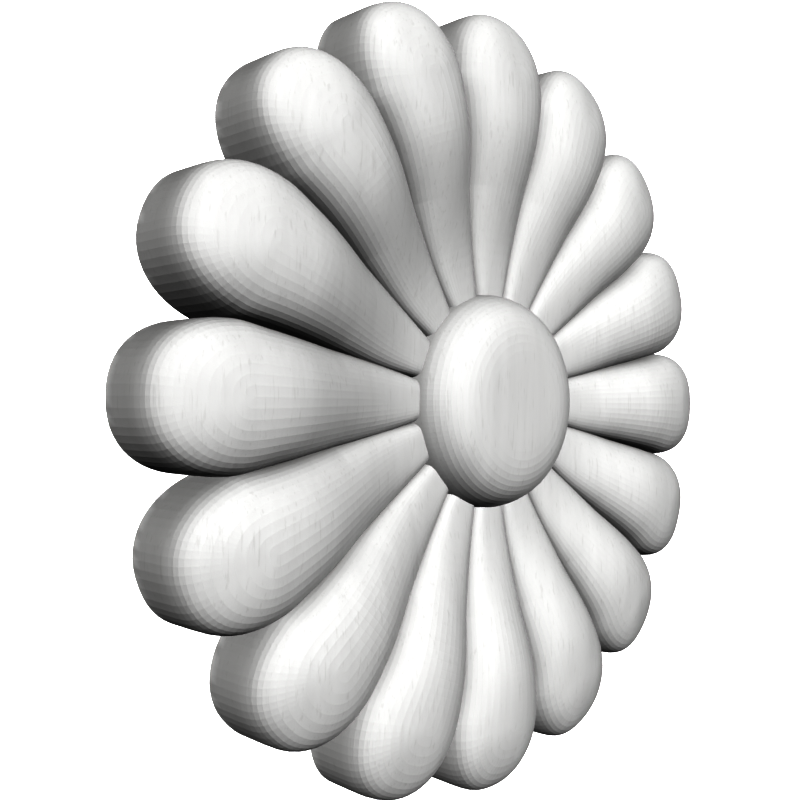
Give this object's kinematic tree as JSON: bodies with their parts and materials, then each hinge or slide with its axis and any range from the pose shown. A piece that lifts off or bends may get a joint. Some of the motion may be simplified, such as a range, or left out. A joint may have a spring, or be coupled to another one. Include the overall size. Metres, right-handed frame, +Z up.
{
  "type": "carved wooden rosette",
  "caption": "Round carved wooden rosette with plump rounded petals round a raised button boss and a flat back, an applied ornament fixed to a wall, door, ceiling or furniture.",
  "frame": {"origin": "centre of the flat back, in its plane, on the rosette's axis", "axes": "+Y out of the back, into the wall; the carving faces -Y; +Z up as it hangs; +X to the right as seen from the front"},
  "size_m": [0.12, 0.0151, 0.12],
  "materials": {
    "carved_wood": "satin"
  },
  "bodies": {
    "root": {"rosette": "carved_wood"}
  },
  "joints": []
}
